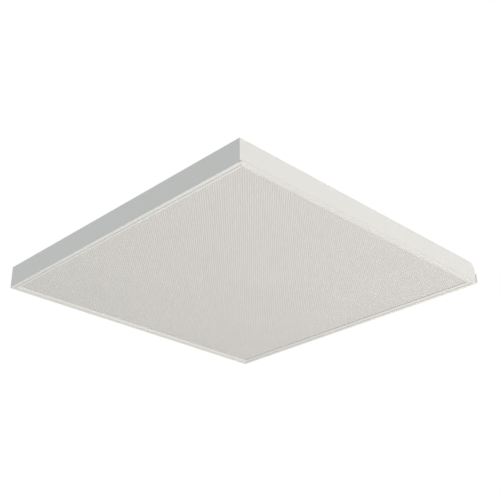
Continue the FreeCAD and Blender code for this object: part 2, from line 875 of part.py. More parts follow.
def lead_route(side, port, drop):
    # From the driver's output, out of the wireway's open end, to the inner bar's plug.
    exit_x = 7 - drop
    exit_z = roof - S["driver_height"] + S["block_height"] / 2
    front = -driver_front
    port_x = bar_pitch / 2 - S["port_pitch"] * port
    low_y = plug_front - 16 - drop
    return [(side * exit_x, front, exit_z), (side * exit_x, front - 14, exit_z),
            (side * (exit_x + 5), front - 36, exit_z + 4), (side * (exit_x + 19), low_y + 10, plug_z),
            (side * (exit_x + 36), low_y, plug_z), (side * (port_x - 9), low_y, plug_z),
            (side * port_x, plug_front - 10 - drop, plug_z), (side * port_x, plug_front, plug_z)]


def link_route(side, port, drop):
    # From the inner bar's plug to the outer bar's plug.
    inner_x = bar_pitch / 2 + S["port_pitch"] * port
    outer_x = bar_pitch * 1.5 - S["port_pitch"] * port
    low_y = plug_front - 16 - drop
    high_y = plug_front - 10 - drop
    return [(side * inner_x, plug_front, plug_z), (side * inner_x, high_y, plug_z),
            (side * (inner_x + 8), low_y, plug_z), (side * (inner_x + 50), low_y - 1, plug_z),
            (side * (outer_x - 50), low_y + 0.5, plug_z), (side * (outer_x - 8), low_y, plug_z),
            (side * outer_x, high_y, plug_z), (side * outer_x, plug_front, plug_z)]


def make_all_wires():
    make_wires("wire_live", [mains_route(pole_xs[0])])
    make_wires("wire_neutral", [mains_route(pole_xs[1])])
    make_wires("wire_earth", [earth_route()])
    for name, port, drop in (("leads_red", 1.5, 0), ("leads_black", 0.5, S["wire_spread"])):
        routes = [route(side, port, drop) for side in (-1, 1) for route in (lead_route, link_route)]
        make_wires(name, routes)


# Lens door.

def make_rail(name, angle, rivet_places):
    # Drawn along the front, then turned to its own side. The ends are mitred.
    body = new_body(name)
    edge = -door_half
    edge_break = S["rail_break"]
    wall = S["rail_wall"]
    lip_start = S["bevel_width"] - S["lip_width"]
    outline = [(edge + edge_break, 0), (edge + S["bevel_width"], S["bevel_rise"]),
               (edge + S["bevel_width"], lens_seat), (edge + lip_start, lens_seat),
               (edge + wall, wall), (edge + wall, S["rail_height"]), (edge, S["rail_height"]),
               (edge, edge_break)]
    pad(body, new_sketch(body, "YZ_Plane", [outline]), door_half * 2, symmetric=True)
    reach = S["bevel_width"] * 2
    mitres = [[(-door_half, edge), (-door_half + reach, edge + reach), (-door_half, edge + reach)],
              [(door_half, edge), (door_half, edge + reach), (door_half - reach, edge + reach)]]
    pocket(body, new_sketch(body, "XY_Plane", mitres), S["rail_height"], reverse=True)
    holes = new_sketch(body, "XZ_Plane", circles=[(x, rail_rivet_z, rivet_hole) for x in rivet_places],
                       shift=door_half)
    pocket(body, holes, wall)
    body.Placement = Placement(Vector(), Rotation(Vector(0, 0, 1), angle))
    keep(body)


key_rivet = door_half - S["rail_wall"] - S["key_leg"] / 2


def make_rails():
    ends = [-key_rivet, key_rivet]
    make_rail("door_rail_front", 0, ends)
    make_rail("door_rail_right", 90, ends + hinge_rivet_ys)
    make_rail("door_rail_back", 180, ends)
    make_rail("door_rail_left", 270, ends + catch_rivet_ys)


def make_corner_keys():
    body = new_body("corner_keys")
    start = -key_back
    inner = start + S["key_thick"]
    end = start + S["key_leg"]
    bend = [(start, start), (end, start), (end, inner), (inner, inner), (inner, end), (start, end)]
    key = pad(body, new_sketch(body, "XY_Plane", [bend], shift=key_low), S["rail_height"] - key_low)
    polar = body.newObject("PartDesign::PolarPattern", "corner_keys_polar")
    polar.Originals = [key]
    polar.Axis = (origin_of(body, "Z_Axis"), [""])
    polar.Angle = 360
    polar.Occurrences = 4
    body.Tip = polar
    for role in ("XZ_Plane", "YZ_Plane"):
        circles = [(-key_rivet, rail_rivet_z, rivet_hole), (key_rivet, rail_rivet_z, rivet_hole)]
        pocket(body, new_sketch(body, role, circles=circles), key_back * 2, symmetric=True)
    keep(body)


def make_corner_rivets():
    seat = key_back - S["key_thick"]
    grip = S["key_thick"] + S["rail_wall"]
    seats = []
    for along in (-key_rivet, key_rivet):
        seats += [((along, -seat, rail_rivet_z), "-Y", grip), ((along, seat, rail_rivet_z), "+Y", grip),
                  ((-seat, along, rail_rivet_z), "-X", grip), ((seat, along, rail_rivet_z), "+X", grip)]
    rivets("corner_rivets", seats)


def make_lens():
    keep(box("prismatic_lens", (-lens_half, lens_half), (-lens_half, lens_half), (lens_seat, lens_top)))


def make_lens_clips():
    # Spring clips that hook over the rails and press on the lens.
    body = new_body("lens_clips")
    edge = -door_half
    thick = S["clip_thick"]
    wall = S["rail_wall"]
    top = S["rail_height"]
    knee = lens_top + thick * 4
    tip = edge + wall + S["clip_reach"]
    outline = [(edge - thick, top / 2), (edge, top / 2), (edge, top), (edge + wall, top),
               (edge + wall, knee), (tip - thick * 4, lens_top), (tip, lens_top), (tip, lens_top + thick),
               (tip - thick * 4, lens_top + thick), (edge + wall + thick, knee + thick),
               (edge + wall + thick, top + thick), (edge - thick, top + thick)]
    clip = pad(body, new_sketch(body, "YZ_Plane", [outline], shift=half - S["clip_inset"]), S["clip_length"])
    four_corners(body, clip)
    keep(body)


# Hinges.

def make_bracket(number, y):
    # Two ears that hang from the top panel and carry the pin.
    name = f"hinge_bracket_{number}"
    inner = S["leaf_width"] / 2 + S["ear_clear"]
    outer = inner + S["ear_thick"]
    strip = (hinge_x - S["ear_radius"] * 2, hinge_x - S["pin_radius"] / 2)
    ears = []
    for index, (low, high) in enumerate(((y - outer, y - inner), (y + inner, y + outer))):
        ears.append(box(f"{name}_strip_{index}", strip, (low, high), (hinge_z, roof)))
        ears.append(rod(f"{name}_round_{index}", (hinge_x, low, hinge_z), "+Y", high - low, S["ear_radius"]))
    foot = box(f"{name}_foot", (hinge_x - S["foot_depth"], strip[1]),
               (y - S["foot_half"], y + S["foot_half"]), (roof - S["ear_thick"], roof))
    solid = fuse(f"{name}_solid", ears + [foot])
    holes = [rod(f"{name}_bore", (hinge_x, y - outer, hinge_z), "+Y", outer * 2, pin_hole)]
    for index, side in enumerate((-1, 1)):
        start = (hinge_foot_x, y + side * foot_spread, roof - S["ear_thick"])
        holes.append(rod(f"{name}_hole_{index}", start, "+Z", S["ear_thick"], rivet_hole))
    keep(cut(name, solid, group(f"{name}_holes", holes)))


def make_pin(number, y):
    outer = S["leaf_width"] / 2 + S["ear_clear"] + S["ear_thick"]
    seat = (hinge_x, y - outer, hinge_z)
    grip = outer * 2 + S["pin_head"]
    keep(fastener(f"hinge_pin_{number}", seat, "+Y", grip,
                  S["pin_radius"], S["pin_head_radius"], S["pin_head"]))


def make_leaf(number, y):
    # The door's half of the hinge: an eye on an arm, with a foot riveted to the rail.
    name = f"hinge_leaf_{number}"
    wide = S["leaf_width"] / 2
    foot_face = key_back - S["key_thick"]
    eye_low = hinge_z - S["eye_radius"]
    eye = rod(f"{name}_eye", (hinge_x, y - wide, hinge_z), "+Y", wide * 2, S["eye_radius"])
    arm = box(f"{name}_arm", (hinge_x, key_back), (y - wide, y + wide), (eye_low, eye_low + S["leaf_thick"]))
    foot = box(f"{name}_foot", (foot_face, key_back), (y - S["foot_half"], y + S["foot_half"]),
               (key_low, S["rail_height"]))
    solid = fuse(f"{name}_solid", [eye, arm, foot])
    holes = [rod(f"{name}_bore", (hinge_x, y - wide, hinge_z), "+Y", wide * 2, pin_hole)]
    for index, side in enumerate((-1, 1)):
        start = (foot_face, y + side * foot_spread, rail_rivet_z)
        holes.append(rod(f"{name}_hole_{index}", start, "+X", S["key_thick"], rivet_hole))
    keep(cut(name, solid, group(f"{name}_holes", holes)))


# Catches.

def make_jaw(number, y):
    # Sprung jaws on the top panel that grip the bead of the door's tongue.
    body = new_body(f"catch_jaw_{number}")
    steel = S["jaw_sheet"]
    pocket_half = S["jaw_pocket"]
    throat = S["bead_radius"] + S["throat_clear"]
    flare = S["jaw_flare"]
    knee = S["bead_height"] + S["bead_radius"]
    outer = [(pocket_half + steel, roof), (pocket_half + steel, knee), (throat + steel, S["jaw_throat"]),
             (flare + steel, S["jaw_mouth"])]
    inner = [(flare, S["jaw_mouth"]), (throat, S["jaw_throat"]), (pocket_half, knee),
             (pocket_half, roof - steel)]
    right = [(catch_x + x, z) for x, z in outer + inner]
    left = [(catch_x - x, z) for x, z in reversed(outer + inner)]
    jaws = new_sketch(body, "XZ_Plane", [right + left], shift=-(y + S["jaw_half"]))
    pad(body, jaws, S["jaw_half"] * 2)
    foot = new_sketch(body, "XY_Plane",
                      [rectangle((catch_x - S["jaw_foot"], catch_x + S["jaw_foot"]),
                                 (y - S["foot_half"], y + S["foot_half"]))],
                      rivet_circles([(catch_x, y + side * foot_spread) for side in (-1, 1)]),
                      shift=roof - steel)
    pad(body, foot, steel)
    keep(body)


def make_tongue(number, y):
    # A blade on the door's left rail with a bead along its top.
    name = f"catch_tongue_{number}"
    wide = S["jaw_half"] - S["ear_clear"]
    face = -key_back
    back = face + S["key_thick"]
    foot_run = (y - S["foot_half"], y + S["foot_half"])
    foot = box(f"{name}_foot", (face, back), foot_run, (key_low, S["rail_height"]))
    blade = box(f"{name}_blade", (face, back), (y - wide, y + wide), (key_low, S["bead_height"]))
    bead = rod(f"{name}_bead", (catch_x, y - wide, S["bead_height"]), "+Y", wide * 2, S["bead_radius"])
    solid = fuse(f"{name}_solid", [foot, blade, bead])
    holes = []
    for index, side in enumerate((-1, 1)):
        start = (back, y + side * foot_spread, rail_rivet_z)
        holes.append(rod(f"{name}_hole_{index}", start, "-X", S["key_thick"], rivet_hole))
    keep(cut(name, solid, group(f"{name}_holes", holes)))


def make_fixing_rivets():
    foot_seat = roof - S["ear_thick"]
    rivets("bracket_rivets", [((x, y, foot_seat), "+Z", S["depth"] - foot_seat) for x, y in hinge_points])
    jaw_seat = roof - S["jaw_sheet"]
    rivets("jaw_rivets", [((x, y, jaw_seat), "+Z", S["depth"] - jaw_seat) for x, y in catch_points])
    seat = key_back - S["key_thick"]
    grip = S["key_thick"] + S["rail_wall"]
    rivets("leaf_rivets", [((seat, y, rail_rivet_z), "+X", grip) for y in hinge_rivet_ys])
    rivets("tongue_rivets", [((-seat, y, rail_rivet_z), "-X", grip) for y in catch_rivet_ys])


# The whole light.

def make_housing():
    make_pan()
    make_flange()
    make_end_plate("end_plate_front", -1)
    make_end_plate("end_plate_back", 1)
    make_plate_rivets()


def make_lamps():
    for number, x in enumerate(bar_xs, start=1):
        make_bar(number, x)
        make_optics(number, x)
    make_bar_plugs()
    screws("bar_screws", bar_points, bar_seat)


def make_wiring():
    make_driver()
    screws("driver_screws", driver_points, roof - S["lug_thick"])
    make_cover()
    screws("cover_screws", cover_points, roof - S["sheet_steel"])
    make_terminal_block()
    for number, x in enumerate(pole_xs, start=1):
        make_lever(number, x)
    screws("terminal_screw", terminal_points, roof - S["lug_thick"])
    make_grommet()
    make_clamp()
    screws("clamp_screws", clamp_points, roof - S["clamp_thick"])
    make_earth_tag()
    screws("earth_screw", earth_points, tag_seat)
    make_all_wires()


def make_door():
    make_rails()
    make_corner_keys()
    make_corner_rivets()
    make_lens()
    make_lens_clips()
    for number, y in enumerate(hinge_ys, start=1):
        make_bracket(number, y)
        make_pin(number, y)
        make_leaf(number, y)
    for number, y in enumerate(catch_ys, start=1):
        make_jaw(number, y)
        make_tongue(number, y)
    make_fixing_rivets()


def check_document():
    doc.recompute()
    for thing in doc.Objects:
        if "Invalid" in thing.State or "Error" in thing.State:
            raise RuntimeError(f"{thing.Label} failed: {thing.State}")
    for piece in pieces:
        if piece.Shape.isNull() or not piece.Shape.isValid():
            raise RuntimeError(f"{piece.Label} has no valid shape")


def write_steps():
    os.makedirs("parts", exist_ok=True)
    for piece in pieces:
        piece.Shape.exportStep(f"parts/{piece.Label}.step")
        print(f"{piece.Label}: {len(piece.Shape.Solids)} solids, {piece.Shape.Volume / 1000:.2f} cm3")
    print(f"{len(pieces)} nodes")


make_housing()
make_lamps()
make_wiring()
make_door()
check_document()
write_steps()
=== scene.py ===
import json
import math
import bmesh
import bpy
from mathutils import Euler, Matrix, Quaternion, Vector


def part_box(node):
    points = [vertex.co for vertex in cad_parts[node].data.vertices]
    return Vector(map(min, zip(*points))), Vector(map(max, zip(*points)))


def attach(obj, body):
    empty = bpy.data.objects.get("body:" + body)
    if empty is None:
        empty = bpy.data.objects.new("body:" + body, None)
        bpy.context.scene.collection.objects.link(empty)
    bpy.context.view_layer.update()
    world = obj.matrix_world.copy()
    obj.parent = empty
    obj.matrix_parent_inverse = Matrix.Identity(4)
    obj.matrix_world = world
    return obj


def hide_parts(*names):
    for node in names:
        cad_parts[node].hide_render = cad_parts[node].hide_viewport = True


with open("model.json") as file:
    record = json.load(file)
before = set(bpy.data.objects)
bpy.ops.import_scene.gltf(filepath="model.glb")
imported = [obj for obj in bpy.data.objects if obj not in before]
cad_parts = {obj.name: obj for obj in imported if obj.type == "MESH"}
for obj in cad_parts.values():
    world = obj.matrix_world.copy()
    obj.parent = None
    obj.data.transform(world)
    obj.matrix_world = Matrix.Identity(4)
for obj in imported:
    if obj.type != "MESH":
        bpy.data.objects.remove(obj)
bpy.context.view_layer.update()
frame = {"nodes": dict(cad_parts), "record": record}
scene = bpy.context.scene


# Node maths: a Link is an output, and an expression on links adds Math nodes.

class Link:
    def __init__(self, tree, socket):
        self.tree = tree
        self.socket = socket

    def maths(self, operation, first, second=0.0):
        return self.tree.make("ShaderNodeMath", {"operation": operation}, {0: first, 1: second})

    def __add__(self, other):
        return self.maths("ADD", self, other)

    def __radd__(self, other):
        return self.maths("ADD", other, self)

    def __sub__(self, other):
        return self.maths("SUBTRACT", self, other)

    def __rsub__(self, other):
        return self.maths("SUBTRACT", other, self)

    def __mul__(self, other):
        return self.maths("MULTIPLY", self, other)

    def __rmul__(self, other):
        return self.maths("MULTIPLY", other, self)

    def __truediv__(self, other):
        return self.maths("DIVIDE", self, other)

    def __rtruediv__(self, other):
        return self.maths("DIVIDE", other, self)

    def __mod__(self, other):
        return self.maths("FLOORED_MODULO", self, other)

    def __lt__(self, other):
        return self.maths("LESS_THAN", self, other)

    def __gt__(self, other):
        return self.maths("GREATER_THAN", self, other)

    def __abs__(self):
        return self.maths("ABSOLUTE", self)

    def floor(self):
        return self.maths("FLOOR", self)

    def round(self):
        return self.maths("ROUND", self)


class Tree:
    def __init__(self, nodeTree):
        self.nodeTree = nodeTree

    def make(self, kind, settings=None, sockets=None, output=0):
        node = self.nodeTree.nodes.new(kind)
        for name, setting in (settings or {}).items():
            setattr(node, name, setting)
        for key, entry in (sockets or {}).items():
            if isinstance(entry, Link):
                self.nodeTree.links.new(entry.socket, node.inputs[key])
            else:
                node.inputs[key].default_value = entry
        return Link(self, node.outputs[output]) if node.outputs else node

    def split(self, vector):
        parts = self.make("ShaderNodeSeparateXYZ", None, {0: vector})
        return [Link(self, socket) for socket in parts.socket.node.outputs]

    def blend(self, factor, first, second):
        return self.make("ShaderNodeMix", {"data_type": "RGBA"}, {0: factor, 6: first, 7: second}, output=2)


# Camera, at the photograph's viewing angle.

cameraPlace = {
    "at": (-1.0619, -1.0729, -0.6819),
    "tilt": 116.519,
    "turn": -45.154,
    "roll": -0.624,
    "lens": 66.3,
    "sensor": 36.0,
}


def makeCamera(spec):
    data = bpy.data.cameras.new("camera")
    data.lens = spec["lens"]
    data.sensor_width = spec["sensor"]
    data.clip_start = 0.01
    camera = bpy.data.objects.new("camera", data)
    scene.collection.objects.link(camera)
    camera.location = spec["at"]
    turn = Euler((math.radians(spec["tilt"]), 0, math.radians(spec["turn"]))).to_quaternion()
    roll = Quaternion((0, 0, 1), math.radians(spec["roll"]))
    camera.rotation_euler = (turn @ roll).to_euler()
    scene.camera = camera


makeCamera(cameraPlace)
print("camera placed")


# Floor, backdrop light and lamps.

studio = {
    "floorHeight": -2.1,
    "floorSize": 30.0,
    "floorColour": (0.9, 0.9, 0.89, 1),
    "floorWhite": 0.72,    # how far the floor is whitened where it is seen; the rest keeps the shadow
    "roomColour": (0.95, 1.0, 1.0, 1),
    "roomLevel": 0.512,
    "lamps": (
        {"name": "keyLamp", "at": (0.22, -2.0, -1.8), "size": 1.2, "watts": 42.0,
         "colour": (1.0, 0.895, 0.82)},
        {"name": "topLamp", "at": (-0.6, -0.4, 3.0), "size": 3.0, "watts": 32.0,
         "colour": (1.0, 0.99, 0.97)},
    ),
}


white = (1, 1, 1, 1)


def seenDirectly(tree):
    # one where a camera, glossy or transmitted ray looks, and zero for the light itself
    path = tree.nodeTree.nodes.new("ShaderNodeLightPath")
    rays = [Link(tree, path.outputs[name])
            for name in ("Is Camera Ray", "Is Glossy Ray", "Is Transmission Ray")]
    return (rays[0] + rays[1] + rays[2]) > 0.5


def makeRoom(spec):
    world = bpy.data.worlds.new("room")
    scene.world = world
    world.use_nodes = True
    world.node_tree.nodes.clear()
    tree = Tree(world.node_tree)
    seen = seenDirectly(tree)
    colour = tree.blend(seen, spec["roomColour"], white)
    level = seen * (1 - spec["roomLevel"]) + spec["roomLevel"]
    background = tree.make("ShaderNodeBackground", None, {"Color": colour, "Strength": level})
    tree.make("ShaderNodeOutputWorld", None, {"Surface": background})


def makeFloor(spec):
    half = spec["floorSize"] / 2
    mesh = bpy.data.meshes.new("floor")
    corners = ((-half, -half), (half, -half), (half, half), (-half, half))
    mesh.from_pydata([(x, y, spec["floorHeight"]) for x, y in corners], [], [(0, 1, 2, 3)])
    floor = bpy.data.objects.new("floor", mesh)
    scene.collection.objects.link(floor)
    material = bpy.data.materials.new("floorPaper")
    material.use_nodes = True
    material.node_tree.nodes.clear()
    tree = Tree(material.node_tree)
    paper = tree.make("ShaderNodeBsdfDiffuse", None, {"Color": spec["floorColour"]})
    glow = tree.make("ShaderNodeEmission", None, {"Color": white, "Strength": 1.0})
    share = seenDirectly(tree) * spec["floorWhite"]
    shown = tree.make("ShaderNodeMixShader", None, {0: share, 1: paper, 2: glow})
    tree.make("ShaderNodeOutputMaterial", None, {"Surface": shown})
    mesh.materials.append(material)


def makeLamps(spec):
    for lamp in spec["lamps"]:
        data = bpy.data.lights.new(lamp["name"], "AREA")
        data.size = lamp["size"]
        data.energy = lamp["watts"]
        data.color = lamp["colour"]
        light = bpy.data.objects.new(lamp["name"], data)
        scene.collection.objects.link(light)
        light.location = lamp["at"]
        light.rotation_euler = (-Vector(lamp["at"])).to_track_quat("-Z", "Y").to_euler()
        light.visible_camera = False


scene.view_settings.view_transform = "Standard"
makeRoom(studio)
makeFloor(studio)
makeLamps(studio)
print("studio lit")


# Finishes. Each has its own look beside it.

def newMaterial(name):
    material = bpy.data.materials.new(name)
    material.use_nodes = True
    material.node_tree.nodes.clear()
    tree = Tree(material.node_tree)
    place = tree.make("ShaderNodeTexCoord", None, None, output="Object")
    return material, tree, place


reliefDepth = 0.0001    # of every fine texture, in metres
fineDetail = 1.0
acrylicIndex = 1.49


def noise(tree, place, scale, detail=2.0):
    return tree.make("ShaderNodeTexNoise", None, {"Vector": place, "Scale": scale, "Detail": detail})


def finishMaterial(tree, sockets, relief=None, strength=0.0):
    if relief is not None:
        sockets["Normal"] = tree.make("ShaderNodeBump", None, {
            "Height": relief, "Strength": strength, "Distance": reliefDepth})
    shader = tree.make("ShaderNodeBsdfPrincipled", None, sockets)
    tree.make("ShaderNodeOutputMaterial", None, {"Surface": shader})


powderLook = {
    "pale": (0.87, 0.865, 0.845, 1), "dull": (0.83, 0.83, 0.812, 1), "cloud": 5.0, "peel": 1400.0,
    "rough": 0.4, "roughSpread": 0.12, "shine": 0.4, "relief": 0.12,
}


def makePowderCoat(look):
    material, tree, place = newMaterial("whitePowderCoat")
    cloud = noise(tree, place, look["cloud"])
    peel = noise(tree, place, look["peel"], fineDetail)
    finishMaterial(tree, {
        "Base Color": tree.blend(cloud, look["dull"], look["pale"]),
        "Roughness": look["rough"] + cloud * look["roughSpread"],
        "Specular IOR Level": look["shine"],
    }, peel, look["relief"])
    return material


zincLook = {
    "light": (0.62, 0.63, 0.64, 1), "dark": (0.47, 0.48, 0.5, 1), "spangle": 260.0, "cloud": 60.0,
    "rough": 0.28, "roughSpread": 0.15, "relief": 0.08,
}


def makeZinc(look):
    material, tree, place = newMaterial("zincSteel")
    grain = tree.make("ShaderNodeTexVoronoi", None, {"Vector": place, "Scale": look["spangle"]})
    cloud = noise(tree, place, look["cloud"])
    finishMaterial(tree, {
        "Base Color": tree.blend(cloud, look["dark"], look["light"]),
        "Metallic": 1.0,
        "Roughness": look["rough"] + cloud * look["roughSpread"],
    }, grain, look["relief"])
    return material


springLook = {
    "light": (0.52, 0.52, 0.53, 1), "dark": (0.4, 0.4, 0.41, 1), "lines": 900.0, "squeeze": (1.0, 0.04, 1.0),
    "rough": 0.25, "roughSpread": 0.2, "relief": 0.1,
}


def makeSpringSteel(look):
    material, tree, place = newMaterial("springSteel")
    lines = tree.make("ShaderNodeMapping", None, {"Vector": place, "Scale": look["squeeze"]})
    brush = noise(tree, lines, look["lines"])
    finishMaterial(tree, {
        "Base Color": tree.blend(brush, look["dark"], look["light"]),
        "Metallic": 1.0,
        "Roughness": look["rough"] + brush * look["roughSpread"],
    }, brush, look["relief"])
    return material


brassLook = {
    "light": (0.78, 0.62, 0.34, 1), "dark": (0.6, 0.45, 0.22, 1), "cloud": 180.0,
    "rough": 0.3, "roughSpread": 0.2, "relief": 0.1,
}


def makeBrass(look):
    material, tree, place = newMaterial("brassTag")
    cloud = noise(tree, place, look["cloud"])
    finishMaterial(tree, {
        "Base Color": tree.blend(cloud, look["dark"], look["light"]),
        "Metallic": 1.0,
        "Roughness": look["rough"] + cloud * look["roughSpread"],
    }, cloud, look["relief"])
    return material


mouldingLook = {"grain": 1100.0, "cloud": 40.0, "shade": 0.9, "roughSpread": 0.1, "relief": 0.15}


def makeMoulding(name, colour, rough=0.45):
    # moulded plastic with a fine spark-eroded texture
    look = mouldingLook
    material, tree, place = newMaterial(name)
    fine = noise(tree, place, look["grain"], fineDetail)
    broad = noise(tree, place, look["cloud"])
    darker = tuple(channel * look["shade"] for channel in colour[:3]) + (1,)
    finishMaterial(tree, {
        "Base Color": tree.blend(broad, darker, colour),
        "Roughness": rough + fine * look["roughSpread"],
    }, fine, look["relief"])
    return material


earthLook = {
    "green": (0.08, 0.32, 0.05, 1), "yellow": (0.78, 0.68, 0.05, 1), "bands": 900, "greenShare": 0.45,
    "grain": 700.0, "rough": 0.35, "roughSpread": 0.1,
}


def makeStripedWire(look):
    # green and yellow insulation, in bands that follow the height
    material, tree, place = newMaterial("wireGreenYellow")
    band = (tree.split(place)[2] * look["bands"]) % 1
    fine = noise(tree, place, look["grain"])
    finishMaterial(tree, {
        "Base Color": tree.blend(1 - (band < look["greenShare"]), look["green"], look["yellow"]),
        "Roughness": look["rough"] + fine * look["roughSpread"],
    })
    return material


boardLook = {
    "mask": (0.86, 0.87, 0.86, 1), "gap": (0.78, 0.79, 0.76, 1), "pitch": 0.0125, "gapShare": 0.06,
    "grain": 500.0, "rough": 0.35, "roughSpread": 0.12, "relief": 0.3,
}


def makeBoard(look):
    # white solder mask over broad copper fields, with a narrow sunken gap between them
    material, tree, place = newMaterial("ledBoard")
    along = tree.split(place)[1]
    gap = abs((along / look["pitch"]) % 1 - 0.5) < look["gapShare"]
    fine = noise(tree, place, look["grain"])
    finishMaterial(tree, {
        "Base Color": tree.blend(gap, look["mask"], look["gap"]),
        "Roughness": look["rough"] + fine * look["roughSpread"],
    }, 1 - gap, look["relief"])
    return material


opticLook = {
    "tint": (0.95, 0.97, 1.0, 1), "clear": 0.3, "clearSpread": 0.05, "grain": 300.0,
    "rough": 0.05, "roughSpread": 0.06,
}


def makeOptic(look):
    # see-through by alpha, so that the chip under each optic shows
    material, tree, place = newMaterial("clearOptic")
    fine = noise(tree, place, look["grain"])
    finishMaterial(tree, {
        "Base Color": look["tint"],
        "Roughness": look["rough"] + fine * look["roughSpread"],
        "IOR": acrylicIndex,
        "Alpha": look["clear"] + fine * look["clearSpread"],
    })
    return material


lensLook = {
    "pale": (0.732, 0.722, 0.715, 1), "dull": (0.69, 0.683, 0.675, 1), "cloud": 7.0, "grain": 240.0,
    "rough": 0.3, "roughSpread": 0.12, "shine": 0.5,
}


def makeLensPlastic(look):
    material, tree, place = newMaterial("prismaticAcrylic")
    cloud = noise(tree, place, look["cloud"])
    fine = noise(tree, place, look["grain"])
    finishMaterial(tree, {
        "Base Color": tree.blend(cloud, look["dull"], look["pale"]),
        "Roughness": look["rough"] + fine * look["roughSpread"],
        "IOR": acrylicIndex,
        "Specular IOR Level": look["shine"],
    })
    return material


solderLook = {**zincLook, "light": (0.8, 0.8, 0.8, 1), "dark": (0.66, 0.66, 0.67, 1), "spangle": 900.0}

finishes = {
    "white_powder_coat": makePowderCoat(powderLook),
    "zinc_steel": makeZinc(zincLook),
    "spring_steel": makeSpringSteel(springLook),
    "brass_tag": makeBrass(brassLook),
    "prismatic_acrylic": makeLensPlastic(lensLook),
    "clear_optic": makeOptic(opticLook),
    "led_board": makeBoard(boardLook),
    "driver_white": makeMoulding("driverCasing", (0.8, 0.8, 0.78, 1)),
    "terminal_grey": makeMoulding("terminalNylon", (0.58, 0.6, 0.61, 1)),
    "plug_white": makeMoulding("plugNylon", (0.84, 0.83, 0.78, 1)),
    "lever_blue": makeMoulding("leverNylon", (0.08, 0.2, 0.42, 1), 0.3),
    "black_rubber": makeMoulding("grommetRubber", (0.025, 0.025, 0.027, 1), 0.6),
    "wire_brown": makeMoulding("wireBrown", (0.16, 0.06, 0.03, 1), 0.35),
    "wire_blue": makeMoulding("wireBlue", (0.03, 0.14, 0.45, 1), 0.35),
    "wire_green": makeStripedWire(earthLook),
    "wire_red": makeMoulding("wireRed", (0.55, 0.03, 0.03, 1), 0.35),
    "wire_black": makeMoulding("wireBlack", (0.02, 0.02, 0.022, 1), 0.35),
}
chipCeramic = makeMoulding("chipCeramic", (0.86, 0.86, 0.84, 1), 0.3)
chipPhosphor = makeMoulding("chipPhosphor", (0.9, 0.62, 0.08, 1), 0.35)
resistorBlack = makeMoulding("resistorBlack", (0.03, 0.03, 0.035, 1), 0.3)
solderTin = makeZinc(solderLook)


def dressNodes():
    for entry in frame["record"]["subparts"]:
        node = frame["nodes"][entry["node"]]
        for holder in node.material_slots:
            holder.material = finishes[entry["material_slot"]]


dressNodes()
print("finishes on the solids")


# Pieces

def evaluatedMesh(holder):
    bpy.context.view_layer.update()
    graph = bpy.context.evaluated_depsgraph_get()
    return bpy.data.meshes.new_from_object(holder.evaluated_get(graph))


def looseObject(name, mesh):
    thing = bpy.data.objects.new(name, mesh)
    scene.collection.objects.link(thing)
    return thing


def meshFromTree(name, groupTree, sizes, start=None):
    # runs a geometry tree and keeps the result as a plain mesh
    holder = looseObject(name + "Maker", start or bpy.data.meshes.new(name + "Maker"))
    modifier = holder.modifiers.new("maker", "NODES")
    modifier.node_group = groupTree
    for item in groupTree.interface.items_tree:
        if item.in_out == "INPUT" and item.name in sizes:
            modifier[item.identifier] = sizes[item.name]
    mesh = evaluatedMesh(holder)
    bpy.data.objects.remove(holder)
    return looseObject(name, mesh)


def newGeometryTree(name, inputs):
    groupTree = bpy.data.node_groups.new(name, "GeometryNodeTree")
    groupTree.interface.new_socket("Geometry", in_out="INPUT", socket_type="NodeSocketGeometry")
    for label, kind, first in inputs:
        socket = groupTree.interface.new_socket(label, in_out="INPUT", socket_type=kind)
        if first is not None:
            socket.default_value = first
    groupTree.interface.new_socket("Geometry", in_out="OUTPUT", socket_type="NodeSocketGeometry")
    tree = Tree(groupTree)
    group = groupTree.nodes.new("NodeGroupInput")
    named = group.outputs[:len(inputs) + 1]    # the last output is the spare one that Blender adds
    return groupTree, tree, [Link(tree, socket) for socket in named]


def finishTree(tree, geometry, material):
    whole = tree.make("GeometryNodeRealizeInstances", None, {"Geometry": geometry})
    dressed = tree.make("GeometryNodeSetMaterial", None, {"Geometry": whole, "Material": material})
    tree.make("NodeGroupOutput", None, {0: dressed})


sharpFrom = 35    # degrees between faces


def smooth(piece):
    piece.data.shade_smooth()
    piece.data.set_sharp_from_angle(angle=math.radians(sharpFrom))


def settle(piece, body, nodes=()):
    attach(piece, body)
    if nodes:
        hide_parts(*nodes)


def lathe(name, profile, sides, start=0.0):
    # a closed solid round Z, from radius and height pairs that begin and end on the axis
    angles = [start + 2 * math.pi * index / sides for index in range(sides)]
    work = bmesh.new()
    rings = []
    for radius, height in profile:
        spots = angles if radius else [0.0]
        rings.append([work.verts.new((radius * math.cos(at), radius * math.sin(at), height)) for at in spots])
    for first, second in zip(rings, rings[1:]):
        for index in range(sides):
            after = index + 1
            corners = [first[index % len(first)], first[after % len(first)],
                       second[after % len(second)], second[index % len(second)]]
            work.faces.new(list(dict.fromkeys(corners)))
    bmesh.ops.recalc_face_normals(work, faces=work.faces)
    mesh = bpy.data.meshes.new(name)
    work.to_mesh(mesh)
    work.free()
    return mesh


